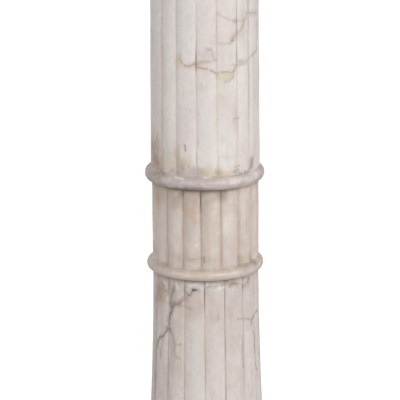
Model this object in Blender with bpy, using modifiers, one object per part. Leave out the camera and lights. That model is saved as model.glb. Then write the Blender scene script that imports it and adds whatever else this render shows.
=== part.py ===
"""A reeded alabaster column on a square plinth, banded by two half-round rings round a short drum.

The stone pieces stand one on another with no fastening that shows. Lengths are in metres, +Z is up, and the
origin is the middle of the plinth's underside.
"""

import math

import bmesh
import bpy

# Reeding that all three shaft pieces share
REED_COUNT = 16
REED_FACETS = 6

# Lower shaft: it narrows quickly above the base and then more slowly
LOWER_SHAFT_HEIGHT = 0.3315
LOWER_SHAFT_FOOT_RADIUS = 0.0872
LOWER_SHAFT_HEAD_RADIUS = 0.0758
LOWER_SHAFT_FLARE = 1.45
LOWER_SHAFT_LEVELS = 8
LOWER_SHAFT_TURN = math.radians(-1.0)

# Drum between the two rings: straight sides and deeper reeds
DRUM_HEIGHT = 0.1143
DRUM_RADIUS = 0.0760
DRUM_TURN = math.radians(-5.4)
DRUM_REED_DEPTH = 0.0048

# Upper shaft: an even taper
UPPER_SHAFT_HEIGHT = 0.3418
UPPER_SHAFT_FOOT_RADIUS = 0.0774
UPPER_SHAFT_HEAD_RADIUS = 0.0748
UPPER_SHAFT_TURN = math.radians(-9.4)
SHAFT_REED_DEPTH = 0.0021

# Rings: each stands proud of the wider of the two pieces that it parts
LOWER_RING_HEIGHT = 0.016
LOWER_RING_PROJECTION = 0.0076
UPPER_RING_HEIGHT = 0.0184
UPPER_RING_PROJECTION = 0.0078

# Plinth and turned base
PLINTH_MARGIN = 0.009
PLINTH_HEIGHT = 0.045
BASE_TORUS_HEIGHT = 0.042
BASE_TORUS_PROJECTION = 0.021
BASE_FILLET_HEIGHT = 0.008
BASE_COVE_HEIGHT = 0.016
BASE_COVE_PROJECTION = 0.013
BASE_SHOULDER = 0.0048

# Turned capital and its square top slab
ASTRAGAL_HEIGHT = 0.012
ASTRAGAL_PROJECTION = 0.006
NECK_HEIGHT = 0.018
ANNULET_HEIGHT = 0.005
ANNULET_PROJECTION = 0.005
ECHINUS_HEIGHT = 0.034
ECHINUS_PROJECTION = 0.030
CAPITAL_SEAT_HEIGHT = 0.003
ABACUS_OVERHANG = 0.009
ABACUS_HEIGHT = 0.037

# Working details
SEAT_GAP = 0.0003
SLAB_EDGE_ROUNDING = 0.0025
SLAB_EDGE_SEGMENTS = 2
TURNED_STEPS = 48
ARC_SEGMENTS = 8
MERGE_DISTANCE = 0.00005

ALABASTER = {
    "white": ((0.70, 0.665, 0.635, 1.0), 0.34),
    "beige": ((0.62, 0.545, 0.465, 1.0), 0.38),
    "grey": ((0.56, 0.505, 0.485, 1.0), 0.36),
    "veined": ((0.64, 0.585, 0.535, 1.0), 0.36),
}


def clear_scene():
    for obj in list(bpy.data.objects):
        bpy.data.objects.remove(obj, do_unlink=True)


def stone(name):
    """A Principled material for one bed of the stone."""
    colour, roughness = ALABASTER[name]
    made = bpy.data.materials.new(f"alabaster_{name}")
    made.use_nodes = True
    shader = made.node_tree.nodes["Principled BSDF"]
    shader.inputs["Base Color"].default_value = colour
    shader.inputs["Roughness"].default_value = roughness
    shader.inputs["Metallic"].default_value = 0.0
    made.diffuse_color = colour
    return made


def add_piece(name, mesh, material, height, parent, collection):
    """Links one named piece into the column, standing at its height."""
    piece = bpy.data.objects.new(name, mesh)
    piece.data.materials.append(material)
    piece.location.z = height
    piece.parent = parent
    collection.objects.link(piece)
    return piece


def reeded_outline(radius, depth, turn):
    """Points round one level of a reeded shaft: convex reeds that meet in sharp grooves.

    A groove lies at the angle turn from the front, which is the -Y side.
    """
    points = []
    for step in range(REED_COUNT * REED_FACETS):
        across = 2 * (step % REED_FACETS) / REED_FACETS - 1
        reach = radius - depth * across**2
        angle = turn - math.pi / 2 + 2 * math.pi * step / (REED_COUNT * REED_FACETS)
        points.append((reach * math.cos(angle), reach * math.sin(angle)))
    return points


def reeded_mesh(name, height, radius_at, depth, turn, levels):
    """A reeded shaft piece: its outline as a face, drawn upwards level by level to the radius wanted there."""
    shape = bmesh.new()
    foot = [shape.verts.new((x, y, 0.0)) for x, y in reeded_outline(radius_at(0.0), depth, turn)]
    face = shape.faces.new(foot)
    for level in range(1, levels + 1):
        share = level / levels
        drawn = bmesh.ops.extrude_face_region(shape, geom=[face])["geom"]
        if level > 1:
            bmesh.ops.delete(shape, geom=[face], context="FACES_ONLY")
        face = next(part for part in drawn if isinstance(part, bmesh.types.BMFace))
        for vert in face.verts:
            angle = math.atan2(vert.co.y, vert.co.x)
            reach = math.hypot(vert.co.x, vert.co.y)
            reach += radius_at(share) - radius_at((level - 1) / levels)
            vert.co = (reach * math.cos(angle), reach * math.sin(angle), height * share)
    bmesh.ops.recalc_face_normals(shape, faces=shape.faces)
    mesh = bpy.data.meshes.new(name)
    shape.to_mesh(mesh)
    shape.free()
    mesh.shade_smooth()
    mesh.set_sharp_from_angle(angle=math.radians(25))
    return mesh


def arc(centre, reach_out, reach_up, start, end):
    """Points along an elliptical arc in the profile plane, from one angle in degrees to another."""
    points = []
    for step in range(ARC_SEGMENTS + 1):
        angle = math.radians(start + (end - start) * step / ARC_SEGMENTS)
        points.append((centre[0] + reach_out * math.cos(angle), centre[1] + reach_up * math.sin(angle)))
    return points


def turned_piece(name, profile, material, height, parent, collection):
    """A piece turned from a profile of (radius, height) points, listed from the top down the outer side."""
    bottom = min(z for _, z in profile)
    top = max(z for _, z in profile)
    points = [(0.0, top), *profile, (0.0, bottom)]
    mesh = bpy.data.meshes.new(name)
    edges = [(i, i + 1) for i in range(len(points) - 1)]
    mesh.from_pydata([(radius, 0.0, z) for radius, z in points], edges, [])
    piece = add_piece(name, mesh, material, height, parent, collection)
    lathe = piece.modifiers.new("Turned", "SCREW")
    lathe.axis = "Z"
    lathe.angle = 2 * math.pi
    lathe.steps = TURNED_STEPS
    lathe.render_steps = TURNED_STEPS
    lathe.use_merge_vertices = True
    lathe.merge_threshold = MERGE_DISTANCE
    lathe.use_smooth_shade = True
    return piece


def ring_profile(height, seat_radius, projection):
    """A disc with a half-round edge, as wide across its flat faces as the pieces that bear on it."""
    return arc((seat_radius, height / 2), projection, height / 2, 90, -90)


def base_profile(shaft_radius):
    """From the top: the seat under the shaft, a cove, a fillet and a half-round torus on the plinth."""
    seat = shaft_radius + BASE_SHOULDER
    cove_bottom = BASE_TORUS_HEIGHT + BASE_FILLET_HEIGHT
    fillet_radius = seat + BASE_COVE_PROJECTION
    cove = arc(
        (fillet_radius, cove_bottom + BASE_COVE_HEIGHT), BASE_COVE_PROJECTION, BASE_COVE_HEIGHT, 180, 270
    )
    torus = arc(
        (fillet_radius, BASE_TORUS_HEIGHT / 2), BASE_TORUS_PROJECTION, BASE_TORUS_HEIGHT / 2, 90, -90
    )
    return [*cove, *torus]


def capital_profile(shaft_radius):
    """From the top: the seat under the abacus, the echinus, an annulet, the neck and an astragal."""
    annulet_bottom = ASTRAGAL_HEIGHT + NECK_HEIGHT
    echinus_bottom = annulet_bottom + ANNULET_HEIGHT
    echinus_top = echinus_bottom + ECHINUS_HEIGHT
    annulet_radius = shaft_radius + ANNULET_PROJECTION
    echinus = arc((annulet_radius, echinus_top), ECHINUS_PROJECTION, ECHINUS_HEIGHT, 0, -90)
    astragal = arc((shaft_radius, ASTRAGAL_HEIGHT / 2), ASTRAGAL_PROJECTION, ASTRAGAL_HEIGHT / 2, 90, -90)
    return [
        (annulet_radius + ECHINUS_PROJECTION, echinus_top + CAPITAL_SEAT_HEIGHT),
        *echinus,
        (annulet_radius, annulet_bottom),
        (shaft_radius, annulet_bottom),
        *astragal,
    ]


def slab(name, width, thickness, material, height, parent, collection):
    """A square slab with its edges slightly eased."""
    bpy.ops.mesh.primitive_cube_add(size=1.0)
    piece = bpy.context.object
    piece.name = name
    piece.scale = (width, width, thickness)
    bpy.ops.object.transform_apply(location=False, rotation=False, scale=True)
    piece.data.materials.append(material)
    piece.location.z = height + thickness / 2
    piece.parent = parent
    for holder in list(piece.users_collection):
        holder.objects.unlink(piece)
    collection.objects.link(piece)
    easing = piece.modifiers.new("Eased edges", "BEVEL")
    easing.width = SLAB_EDGE_ROUNDING
    easing.segments = SLAB_EDGE_SEGMENTS
    return piece


def lower_shaft_radius(share):
    """Crest radius at a share of the lower shaft's height."""
    flare = (1 - share) ** LOWER_SHAFT_FLARE
    return LOWER_SHAFT_HEAD_RADIUS + (LOWER_SHAFT_FOOT_RADIUS - LOWER_SHAFT_HEAD_RADIUS) * flare


def upper_shaft_radius(share):
    """Crest radius at a share of the upper shaft's height."""
    return UPPER_SHAFT_FOOT_RADIUS + (UPPER_SHAFT_HEAD_RADIUS - UPPER_SHAFT_FOOT_RADIUS) * share


def drum_radius(_share):
    return DRUM_RADIUS


def build_column():
    clear_scene()
    collection = bpy.data.collections.new("reeded_column")
    bpy.context.scene.collection.children.link(collection)
    axis = bpy.data.objects.new("column_axis", None)
    collection.objects.link(axis)
    white, beige, grey, veined = (stone(name) for name in ("white", "beige", "grey", "veined"))

    base = base_profile(LOWER_SHAFT_FOOT_RADIUS)
    capital = capital_profile(UPPER_SHAFT_HEAD_RADIUS)
    plinth_width = 2 * (max(radius for radius, _ in base) + PLINTH_MARGIN)
    abacus_width = 2 * (max(radius for radius, _ in capital) + ABACUS_OVERHANG)
    base_height = max(z for _, z in base)
    capital_height = max(z for _, z in capital)
    lower_ring = ring_profile(
        LOWER_RING_HEIGHT, max(LOWER_SHAFT_HEAD_RADIUS, DRUM_RADIUS), LOWER_RING_PROJECTION
    )
    upper_ring = ring_profile(
        UPPER_RING_HEIGHT, max(DRUM_RADIUS, UPPER_SHAFT_FOOT_RADIUS), UPPER_RING_PROJECTION
    )

    z = 0.0
    slab("plinth", plinth_width, PLINTH_HEIGHT, veined, z, axis, collection)
    z += PLINTH_HEIGHT + SEAT_GAP
    turned_piece("base", base, veined, z, axis, collection)
    z += base_height + SEAT_GAP
    shaft = reeded_mesh(
        "lower_shaft",
        LOWER_SHAFT_HEIGHT,
        lower_shaft_radius,
        SHAFT_REED_DEPTH,
        LOWER_SHAFT_TURN,
        LOWER_SHAFT_LEVELS,
    )
    add_piece("lower_shaft", shaft, veined, z, axis, collection)
    z += LOWER_SHAFT_HEIGHT + SEAT_GAP
    turned_piece("lower_ring", lower_ring, beige, z, axis, collection)
    z += LOWER_RING_HEIGHT + SEAT_GAP
    drum = reeded_mesh("drum", DRUM_HEIGHT, drum_radius, DRUM_REED_DEPTH, DRUM_TURN, 1)
    add_piece("drum", drum, beige, z, axis, collection)
    z += DRUM_HEIGHT + SEAT_GAP
    turned_piece("upper_ring", upper_ring, grey, z, axis, collection)
    z += UPPER_RING_HEIGHT + SEAT_GAP
    shaft = reeded_mesh(
        "upper_shaft", UPPER_SHAFT_HEIGHT, upper_shaft_radius, SHAFT_REED_DEPTH, UPPER_SHAFT_TURN, 1
    )
    add_piece("upper_shaft", shaft, white, z, axis, collection)
    z += UPPER_SHAFT_HEIGHT + SEAT_GAP
    turned_piece("capital", capital, white, z, axis, collection)
    z += capital_height + SEAT_GAP
    slab("abacus", abacus_width, ABACUS_HEIGHT, white, z, axis, collection)


build_column()
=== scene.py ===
"""The looks of the reeded alabaster column: its stone, veins, stains and dirt, the studio, the camera."""

import itertools
import math

import bpy
import numpy as np
from mathutils import Matrix, Vector


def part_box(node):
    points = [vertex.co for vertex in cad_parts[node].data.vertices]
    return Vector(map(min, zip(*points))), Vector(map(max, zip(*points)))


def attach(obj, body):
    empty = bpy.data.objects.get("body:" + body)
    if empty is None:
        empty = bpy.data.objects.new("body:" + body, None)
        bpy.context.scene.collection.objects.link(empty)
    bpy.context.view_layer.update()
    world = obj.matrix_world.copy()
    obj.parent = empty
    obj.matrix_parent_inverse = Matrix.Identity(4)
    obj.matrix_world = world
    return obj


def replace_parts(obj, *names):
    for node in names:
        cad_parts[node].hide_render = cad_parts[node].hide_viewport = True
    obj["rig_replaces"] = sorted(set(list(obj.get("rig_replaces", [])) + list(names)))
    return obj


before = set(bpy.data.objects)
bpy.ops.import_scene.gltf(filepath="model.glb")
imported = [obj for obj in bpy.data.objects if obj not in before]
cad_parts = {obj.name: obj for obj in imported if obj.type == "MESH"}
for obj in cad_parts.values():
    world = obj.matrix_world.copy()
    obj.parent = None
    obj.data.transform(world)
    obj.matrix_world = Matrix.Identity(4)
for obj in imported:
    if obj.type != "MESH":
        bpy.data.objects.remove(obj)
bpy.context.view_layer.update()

MM = 0.001

# The camera, in metres and degrees, with its lens and sensor in millimetres. The photograph is 400 pixels
# square, and one of its pixels spans PIXEL_MM on the stone.
CAMERA_DISTANCE = 3.0
CAMERA_HEIGHT = 1.3005
CAMERA_PITCH = 14.2
CAMERA_YAW = 0.15
CAMERA_ROLL = -0.34
LENS = 195.5
SENSOR = 36.0
PICTURE = 400
PIXEL_MM = 1.42

# Reeding: steps of the mesh across one reed, crowded towards its grooves, the height of a row, and the
# width of the narrow cut in each groove
REED_STEPS = 24
GROOVE_CROWDING = 0.78
SHAFT_ROW = 0.00135
NOTCH_WIDTH = 0.0008

# The reeded pieces: how round their reeds are, how deep the narrow cut in each groove is, and where the
# photograph shows the grooves, as a row of its pixels and the column of each groove on that row
REEDS = {
    "upper_shaft": {
        "roundness": 0.65,
        "notch": 0.0001,
        "row": 110,
        "grooves": (162.3, 176.2, 196.3, 216.8, 236.9, 248.5),
    },
    "drum": {
        "roundness": 0.9,
        "notch": 0.0001,
        "row": 225,
        "grooves": (168.3, 183.0, 200.8, 220.9, 238.4, 250.6),
    },
    "lower_shaft": {
        "roundness": 0.65,
        "notch": 0.0004,
        "row": 350,
        "grooves": (156.5, 168.5, 184.5, 205.0, 225.3, 243.5, 255.5),
    },
}

# Unevenness left by the hand, in layers of (height, width of its waves) in metres. A swing's heights are
# shares of what swings. The lines that the grooves follow through the noise lie far apart, so that each
# strays by itself.
GROOVE_WANDER = [(0.0004, 0.06)]
GROOVE_LINES_APART = 0.37
DEPTH_SWING = [(0.2, 0.05)]
NOTCH_MEAN = 0.75
NOTCH_SWING = [(0.5, 0.012)]
SHAFT_WAVES = [(0.00022, 0.035), (0.00007, 0.009)]
RING_WEAR = 0.0003
TURNED_WEAR = 0.0002
TURNED_SWING = [(1.0, 0.030), (0.4, 0.008)]
SLAB_WEAR = 0.0001
SLAB_SWING = [(1.0, 0.030)]

# Chips and dents, each as (depth, width, the noise at which it begins, the noise at which it is deepest),
# and how far from an edge chips die away
END_CHIPS = (0.0012, 0.010, 0.25, 0.7)
END_CHIP_REACH = 0.0015
SLAB_CHIPS = (0.0022, 0.016, 0.35, 0.8)
SLAB_CHIP_REACH = 0.004
DENTS = (0.0009, 0.013, 0.45, 0.85)

# Turned pieces and slabs. Wear fades out between WORN_BELOW under a turned piece's head and WORN_ABOVE over
# it, so that the next piece lies well on it.
TURNED_COLUMNS = 384
PROFILE_STEP = 0.0009
CORNER_ANGLE = 35
SHARP_ANGLE = 50
WORN_ABOVE = 0.0005
WORN_BELOW = 0.002
SLAB_STEP = 0.003
SLAB_ROUNDING = 0.0025
SLAB_WORN_FROM = 0.01
ARRIS_ROUNDING = 0.0008
LOWER_RING_SHIFT = -0.0008
UPPER_RING_SHIFT = -0.0011

# The bead of bedding plaster on each ring: its size, and its reach, hollow and unevenness in shares of that
DRUM_BEAD = 0.0032
UPPER_SHAFT_BEAD = 0.0018
BEAD_ROWS = 14
BEAD_BITE = 0.0004
BEAD_START = 1.4
BEAD_REACH = 1.2
BEAD_HOLLOW = 2.6
BEAD_SWING = [(0.45, 0.016), (0.2, 0.005)]
BEAD_CRUMBS = [(0.15, 0.0035)]
BEAD_CRUMBS_APART = 0.01

# How close counts as the same place, which share of the reeds' depth counts as a groove's floor, a nook so
# far off that neither dirt nor painted shade gathers, and the cells along each side of the lattice under the
# noise
CLOSE = 1e-4
GROOVE_FLOOR = 0.98
FAR = 0.02
LATTICE = 32

# Marks: where a patch ends, in shares of its size, and a vein's stained band and core, in half widths from
# its middle. Dirt in a groove, and painted light in one, spreads GROOVE_PATCH pixels to each side at most.
# A vein's route keeps its direction while it goes on by STEADY of what it goes aside. SIGHT_ROUNDS is how
# often a line of sight is set to the local radius.
PATCH_END = 1.35
BAND_END = 6.5
CORE_END = 2.1
GROOVE_PATCH = 9 / PIXEL_MM
STEADY = 0.6
SIGHT_ROUNDS = 4

# Colours, as red, green and blue from 0 to 255 on a screen
MILK = (227, 221, 217)
LILAC = (222, 212, 211)
ROSE = (226, 214, 212)
PALE_GREY = (216, 215, 211)
COOL = (212, 212, 218)
SAND = (213, 200, 186)
CREAM = (215, 204, 196)
BLUSH = (209, 196, 189)
OAT = (205, 191, 179)
PEARL = (219, 211, 207)
STRAW = (209, 200, 193)
HEATHER = (210, 200, 201)
MAUVE = (199, 186, 184)
DUSK = (193, 181, 178)
PLUM = (178, 165, 163)
HONEY = (207, 193, 179)
OCHRE = (205, 187, 158)
OLIVE = (199, 190, 160)
RUST = (196, 168, 145)
UMBER = (152, 132, 113)
# A dark brown for dirt, also used for painted shade under the rings and in recesses.
GRIME_AND_SHADE = (120, 108, 97)
TAUPE = (178, 163, 152)
VEIN_BROWN = (132, 117, 104)
VEIN_SLATE = (88, 84, 86)
CHALK = (236, 232, 231)


def tone(colour):
    """A screen colour as the linear colour that a shader takes."""
    shares = [value / 255 for value in colour]
    linear = [share / 12.92 if share < 0.04045 else ((share + 0.055) / 1.055) ** 2.4 for share in shares]
    return (*linear, 1.0)


# Numbers that vary over a surface

def lattice_noise(points, cell, seed):
    """Smooth noise from -1 to 1, one number a point, with features about as large as the cell."""
    values = np.random.default_rng(seed).uniform(-1, 1, (LATTICE, LATTICE, LATTICE))
    scaled = points / cell
    corner = np.floor(scaled).astype(int)
    share = scaled - corner
    share = share * share * (3 - 2 * share)
    total = np.zeros(len(points))
    for step in itertools.product((0, 1), repeat=3):
        weight = np.prod(np.where(step, share, 1 - share), axis=1)
        x, y, z = ((corner + step) % LATTICE).T
        total += weight * values[x, y, z]
    return total


def layered_noise(points, layers, seed):
    """Layers of (height, cell) added up. The first takes the seed, and each further one the next."""
    return sum(height * lattice_noise(points, cell, seed + i) for i, (height, cell) in enumerate(layers))


def ramp(values, low, high):
    """0 below low, 1 above high, and an S curve between them. High may be the lower of the two."""
    share = np.clip((values - low) / (high - low), 0, 1)
    return share * share * (3 - 2 * share)


def bites(points, kind, seed):
    """How deep one kind of chips or dents goes at each point."""
    depth, cell, start, deepest = kind
    return depth * ramp(lattice_noise(points, cell, seed), start, deepest)


# Meshes

def on_circle(angle, radius, height):
    """Points by their angle from the front, their distance from the axis and their height."""
    return np.stack([np.sin(angle) * radius, -np.cos(angle) * radius, height], axis=1)


def make_piece(node, points, faces, nook):
    """A stone piece that stands for a CAD node. Each point keeps its distance to the nearest nook, in mm."""
    name = f"{node}_stone"
    mesh = bpy.data.meshes.new(name)
    mesh.from_pydata(points.tolist(), [], faces)
    mesh.update()
    layer = mesh.attributes.new("nook", "FLOAT", "POINT")
    layer.data.foreach_set("value", np.asarray(nook / MM, np.float32))
    mesh.shade_smooth()
    mesh.set_sharp_from_angle(angle=math.radians(SHARP_ANGLE))
    piece = bpy.data.objects.new(name, mesh)
    bpy.context.scene.collection.objects.link(piece)
    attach(piece, "root")
    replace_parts(piece, node)
    return piece


def wrapped_grid(rows, columns):
    """Faces of a grid that closes round on itself, rows listed upwards, with a fan on each end."""
    faces = []
    for row in range(rows - 1):
        for column in range(columns):
            beside = (column + 1) % columns
            low = row * columns
            high = low + columns
            faces.append((low + column, low + beside, high + beside, high + column))
    foot_centre = rows * columns
    head_centre = foot_centre + 1
    head = (rows - 1) * columns
    for column in range(columns):
        beside = (column + 1) % columns
        faces.append((beside, column, foot_centre))
        faces.append((head + column, head + beside, head_centre))
    return faces


def make_round_piece(node, points, columns, nook, foot, head):
    """A round piece from rows of points, closed by a middle point in its foot and one in its head."""
    rows = len(points) // columns
    points = np.vstack([points, [(0, 0, foot), (0, 0, head)]])
    return make_piece(node, points, wrapped_grid(rows, columns), np.append(nook, [FAR, FAR]))


def node_points(node):
    """The points of a CAD node's mesh."""
    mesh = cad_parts[node].data
    points = np.zeros(len(mesh.vertices) * 3)
    mesh.vertices.foreach_get("co", points)
    return points.reshape(-1, 3)


def reeding_of(node):
    """What the CAD shaft says: its levels, the crest radius at each, the reeds' depth, count and turn."""
    points = node_points(node)
    radius = np.hypot(points[:, 0], points[:, 1])
    levels = np.unique(np.round(points[:, 2], 5))
    crest = [radius[np.abs(points[:, 2] - level) < CLOSE].max() for level in levels]
    foot = np.abs(points[:, 2] - levels[0]) < CLOSE
    depth = crest[0] - radius[foot].min()
    grooved = foot & (radius < crest[0] - GROOVE_FLOOR * depth)
    angles = np.unique(np.round(np.arctan2(points[grooved, 0], -points[grooved, 1]), 3))
    return {
        "levels": levels,
        "crest": np.array(crest),
        "depth": depth,
        "count": len(angles),
        "turn": angles[np.argmin(np.abs(angles))],
    }


def crest_radius(reeding, heights):
    """The crest radius at any height, smooth through the CAD's levels."""
    degree = min(4, len(reeding["levels"]) - 1)
    middle = reeding["levels"].mean()
    curve = np.polyfit(reeding["levels"] - middle, reeding["crest"], degree)
    return np.polyval(curve, heights - middle)


def groove_shifts(node, reeding):
    """How far, in radians, each groove that the photograph shows strays from its even place."""
    pitch = 2 * math.pi / reeding["count"]
    shifts = np.zeros(reeding["count"])
    for column in REEDS[node]["grooves"]:
        angle, _ = sighted(node, (column, REEDS[node]["row"]), reeding["depth"])
        groove = round((angle - reeding["turn"]) / pitch)
        shifts[groove] = angle - reeding["turn"] - groove * pitch
    return shifts


def reed_fall(across, roundness):
    """How far a reed's face lies below its crest, as a share of its depth. Its grooves are at -1 and 1."""
    return roundness * across**2 + (1 - roundness) * np.abs(across) ** 5


def foot_radius(node, angles):
    """The radius of a reeded piece's foot at each angle."""
    reeding = reeding_of(node)
    count = reeding["count"]
    shifts = np.tile(groove_shifts(node, reeding), 3)
    groove_angles = np.arange(-count, 2 * count) * 2 * math.pi / count + shifts
    turned = (angles - reeding["turn"] + math.pi) % (2 * math.pi) - math.pi
    place = np.interp(turned, groove_angles, np.arange(3.0 * count))
    fall = reed_fall(2 * (place % 1) - 1, REEDS[node]["roundness"])
    return reeding["crest"][0] - reeding["depth"] * fall


def carve_shaft(node, seed):
    """A reeded piece: convex reeds, a narrow cut in each groove, and a hand carver's unevenness."""
    reeding = reeding_of(node)
    shifts = groove_shifts(node, reeding)
    low, high = (corner.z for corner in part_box(node))
    rows = int((high - low) / SHAFT_ROW)
    columns = reeding["count"] * REED_STEPS
    pitch = 2 * math.pi / reeding["count"]
    step = np.arange(columns) % REED_STEPS / REED_STEPS
    crowded = step - GROOVE_CROWDING * np.sin(2 * math.pi * step) / (2 * math.pi)
    share = np.tile(crowded, rows)
    reed = np.tile(np.arange(columns) // REED_STEPS, rows)
    z = np.repeat(np.linspace(low, high, rows), columns)
    crest = crest_radius(reeding, z)

    def strayed(groove):
        groove = groove % reeding["count"]
        line = np.stack([groove * GROOVE_LINES_APART, z * 0, z], axis=1)
        return shifts[groove] + layered_noise(line, GROOVE_WANDER, seed) / crest

    drift = strayed(reed) * (1 - share) + strayed(reed + 1) * share
    angle = reeding["turn"] + (reed + share) * pitch + drift
    groove_distance = np.minimum(share, 1 - share) * pitch * crest
    around = on_circle(angle, crest, z)

    depth = reeding["depth"] * (1 + layered_noise(around, DEPTH_SWING, seed + 1))
    notch = REEDS[node]["notch"] * np.exp(-((groove_distance / NOTCH_WIDTH) ** 2))
    notch *= NOTCH_MEAN + layered_noise(around, NOTCH_SWING, seed + 2)
    uneven = layered_noise(around, SHAFT_WAVES, seed + 3)
    end_distance = np.minimum(z - low, high - z)
    chips = bites(around, END_CHIPS, seed + 5) * np.exp(-end_distance / END_CHIP_REACH)
    eased = ARRIS_ROUNDING * np.exp(-((end_distance / ARRIS_ROUNDING) ** 2))
    fall = reed_fall(2 * share - 1, REEDS[node]["roundness"])
    reach = crest - depth * fall - notch + uneven - chips - eased
    return make_round_piece(node, on_circle(angle, reach, z), columns, groove_distance, low, high)


def refined_profile(node):
    """The CAD's turned profile as (radius, height) points, smooth along its arcs, from the foot up.

    The second result is each point's distance in metres to the nearest inner corner.
    """
    points = node_points(node)
    radius = np.hypot(points[:, 0], points[:, 1])
    meridian = (np.abs(points[:, 1]) < 1e-6) & (points[:, 0] > CLOSE)
    pairs = np.unique(np.round(np.stack([points[meridian, 2], radius[meridian]], axis=1), 6), axis=0)
    line = [Vector((r, z)) for z, r in pairs]
    turns = [0.0] * len(line)
    for i in range(1, len(line) - 1):
        turns[i] = (line[i] - line[i - 1]).angle_signed(line[i + 1] - line[i], 0.0)
    corners = [0] + [i for i in range(1, len(line) - 1) if abs(turns[i]) > math.radians(CORNER_ANGLE)]
    corners.append(len(line) - 1)
    smooth = []
    for start, end in itertools.pairwise(corners):
        smooth += spline(line[start : end + 1])[:-1]
    smooth.append(line[-1])
    inner = [line[i] for i in corners[1:-1] if turns[i] < 0]
    inner += [line[0], line[-1]]
    nooks = [min((point - corner).length for corner in inner) for point in smooth]
    return smooth, nooks


def spline(points):
    """A run of points joined by a smooth curve, sampled about every profile step."""
    made = []
    for i in range(len(points) - 1):
        before = points[max(i - 1, 0)]
        start = points[i]
        end = points[i + 1]
        after = points[min(i + 2, len(points) - 1)]
        slope = end - before
        bend = 2 * before - 5 * start + 4 * end - after
        twist = 3 * start - before - 3 * end + after
        count = max(1, math.ceil((end - start).length / PROFILE_STEP))
        for step in range(count):
            t = step / count
            made.append(0.5 * (2 * start + slope * t + bend * t**2 + twist * t**3))
    made.append(points[-1])
    return made


def plaster_bead(profile, surface, size, seed):
    """Rows that close a ring's top on the reeded piece above it: an uneven hollow bead of bedding plaster.

    Each row is (radius, height), one number a column. Surface is the reeded piece's radius at each column.
    """
    tallest = max(profile, key=lambda point: point.y)
    middle = (profile[0].y + tallest.y) / 2
    upper = [point for point in profile if point.x >= tallest.x and point.y > middle]
    upper.sort(key=lambda point: point.x)
    angle = np.arange(TURNED_COLUMNS) * 2 * math.pi / TURNED_COLUMNS
    circle = on_circle(angle, surface, angle * 0)
    start = surface.max() + BEAD_START * size
    height = size * (1 + layered_noise(circle, BEAD_SWING, seed))
    rows = []
    for step in np.linspace(0, 1, BEAD_ROWS):
        radius = start + (surface - BEAD_BITE - start) * step
        on_ring = np.interp(radius, [point.x for point in upper], [point.y for point in upper])
        near = np.clip((surface + BEAD_REACH * size - radius) / (BEAD_REACH * size), 0, 2)
        crumbs = height * layered_noise(circle + (0, 0, step * BEAD_CRUMBS_APART), BEAD_CRUMBS, seed + 2)
        rows.append((radius, on_ring + height * near**BEAD_HOLLOW + crumbs * ramp(near, 0, 0.5)))
    return rows


def turn_piece(node, wear, seed, shift=0.0, bead=None):
    """A piece turned on the lathe and rubbed down by hand, set off its axis by shift.

    Bead is (the reeded piece above it, the size of the bead between them).
    """
    profile, nooks = refined_profile(node)
    low, high = (corner.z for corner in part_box(node))
    column = np.arange(TURNED_COLUMNS) * 2 * math.pi / TURNED_COLUMNS
    rows = [(column * 0 + point.x, column * 0 + point.y) for point in profile]
    if bead:
        above, size = bead
        closing = plaster_bead(profile, foot_radius(above, column), size, seed + 3)
        rows = [row for row in rows if row[0][0] > closing[0][0].max() or row[1][0] < (low + high) / 2]
        nooks = [(point - profile[0]).length for point in profile][: len(rows)] + [FAR] * len(closing)
        rows += closing
    angle = np.tile(column, len(rows))
    radius = np.concatenate([row[0] for row in rows])
    z = np.concatenate([row[1] for row in rows])
    around = on_circle(angle, radius, z)
    worn = wear - wear * layered_noise(around, TURNED_SWING, seed) + bites(around, DENTS, seed + 2)
    reach = radius - worn * ramp(z, high + WORN_ABOVE, high - WORN_BELOW)
    points = on_circle(angle, reach, z) + (shift, 0, 0)
    nook = np.repeat(nooks, TURNED_COLUMNS)
    return make_round_piece(node, points, TURNED_COLUMNS, nook, low, z[-TURNED_COLUMNS:].mean())


def slab_grid(half):
    """Points and faces of a box's skin, as a square grid on each side, with the edges shared."""
    steps = [max(2, round(2 * size / SLAB_STEP)) for size in half]
    lines = [np.linspace(-1, 1, count + 1) * size for count, size in zip(steps, half)]
    quads = []
    for axis in range(3):
        u, v = (axis + 1) % 3, (axis + 2) % 3
        for side in (-1, 1):
            corner = np.zeros((len(lines[u]), len(lines[v]), 3))
            corner[..., axis] = side * half[axis]
            corner[..., u] = lines[u][:, None]
            corner[..., v] = lines[v][None, :]
            quad = np.stack([corner[:-1, :-1], corner[1:, :-1], corner[1:, 1:], corner[:-1, 1:]], axis=2)
            quad = quad.reshape(-1, 4, 3)
            quads.append(quad if side > 0 else quad[:, ::-1])
    corners = np.vstack(quads).reshape(-1, 3)
    _, first, faces = np.unique(np.round(corners, 6), axis=0, return_index=True, return_inverse=True)
    return corners[first], faces.reshape(-1, 4).tolist()


def square_slab(node, seed):
    """A square slab with eased and chipped edges."""
    low, high = (np.array(corner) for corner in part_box(node))
    half = (high - low) / 2
    middle = (low + high) / 2
    points, faces = slab_grid(half)
    core = half - SLAB_ROUNDING
    inside = np.clip(points, -core, core)
    outward = points - inside
    outward /= np.linalg.norm(outward, axis=1, keepdims=True)
    edge = np.sort(half - np.abs(points), axis=1)[:, 1]
    chips = bites(points + middle, SLAB_CHIPS, seed) * np.exp(-edge / SLAB_CHIP_REACH)
    worn = SLAB_WEAR * (1 + layered_noise(points + middle, SLAB_SWING, seed + 1))
    reach = SLAB_ROUNDING - chips - worn * ramp(edge, 0, SLAB_WORN_FROM)
    placed = inside + outward * reach[:, None] + middle
    return make_piece(node, placed, faces, np.full(len(placed), FAR))


# Shaders

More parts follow.
